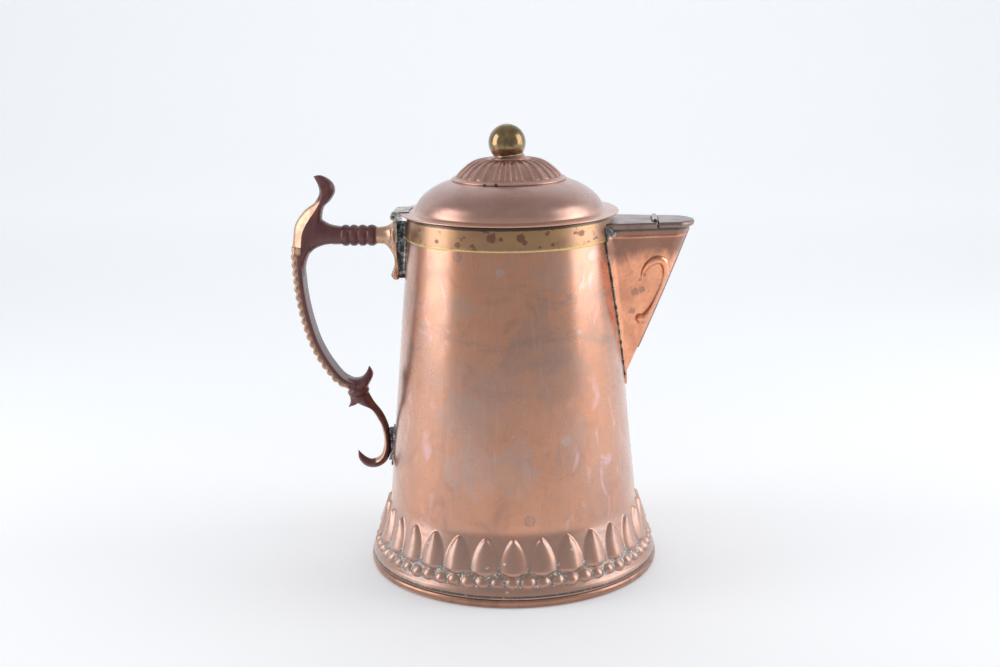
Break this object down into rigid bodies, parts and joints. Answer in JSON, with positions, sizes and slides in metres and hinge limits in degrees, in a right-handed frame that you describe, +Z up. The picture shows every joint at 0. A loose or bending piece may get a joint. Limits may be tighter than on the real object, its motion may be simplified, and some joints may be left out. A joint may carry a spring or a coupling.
{
  "type": "lidded coffee pot",
  "caption": "Tapered copper pot on a flared foot, with a hinged domed lid, a cast scroll handle and a wedge-shaped pouring spout under a hinged flap.",
  "frame": {"origin": "centre of the foot ring on the surface it stands on", "axes": "+Z up the pot's axis, +X along the spout, handle on -X, Y across"},
  "size_m": [0.2714, 0.1986, 0.3],
  "materials": {
    "body_copper": "aged copper, satin with stains",
    "base_copper": "dull aged copper",
    "foot_copper": "worn copper rolled over wire",
    "foot_iron": "iron wire core",
    "collar_brass": "aged brass with worn bright lower edge",
    "lid_copper": "aged pinkish copper, satin",
    "crown_copper": "brown fluted copper",
    "ball_brass": "olive aged brass",
    "handle_bronze": "dark brown cast bronze with worn golden ridges",
    "hinge_brass": "tinned brass",
    "pin_steel": "plain steel pin",
    "spout_copper": "orange aged copper",
    "cover_copper": "brown aged copper",
    "solder": "rough grey soft solder"
  },
  "bodies": {
    "pot": {"body_shell": "body_copper", "base_disc": "base_copper", "foot_ring": "foot_copper", "foot_wire": "foot_iron", "collar_band": "collar_brass", "lid_hinge_bracket": "hinge_brass", "lid_hinge_pin": "pin_steel", "handle": "handle_bronze", "handle_solder_upper": "solder", "handle_solder_lower": "solder", "spout_shell": "spout_copper", "spout_front_strip": "spout_copper", "spout_cover_plate": "cover_copper", "spout_hinge_bracket_left": "hinge_brass", "spout_hinge_bracket_right": "hinge_brass", "spout_hinge_pin": "pin_steel", "spout_solder_left": "solder", "spout_solder_right": "solder"},
    "lid": {"lid_dome": "lid_copper", "lid_crown": "crown_copper", "lid_bezel": "lid_copper", "finial_ball": "ball_brass", "finial_neck": "crown_copper", "finial_solder": "solder", "finial_stud": "hinge_brass", "finial_nut": "hinge_brass", "lid_hinge_leaf": "hinge_brass"},
    "flap": {"spout_flap": "cover_copper", "spout_hinge_leaf": "hinge_brass"}
  },
  "joints": [
    {"name": "lid_hinge", "type": "hinge", "parent": "pot", "child": "lid", "pos_m": [-0.0764, 0, 0.24], "axis": [0, -1, 0], "range_deg": [0, 112]},
    {"name": "spout_flap_hinge", "type": "hinge", "parent": "pot", "child": "flap", "pos_m": [0.0967, 0, 0.2364], "axis": [0, -1, 0], "range_deg": [0, 110]}
  ]
}
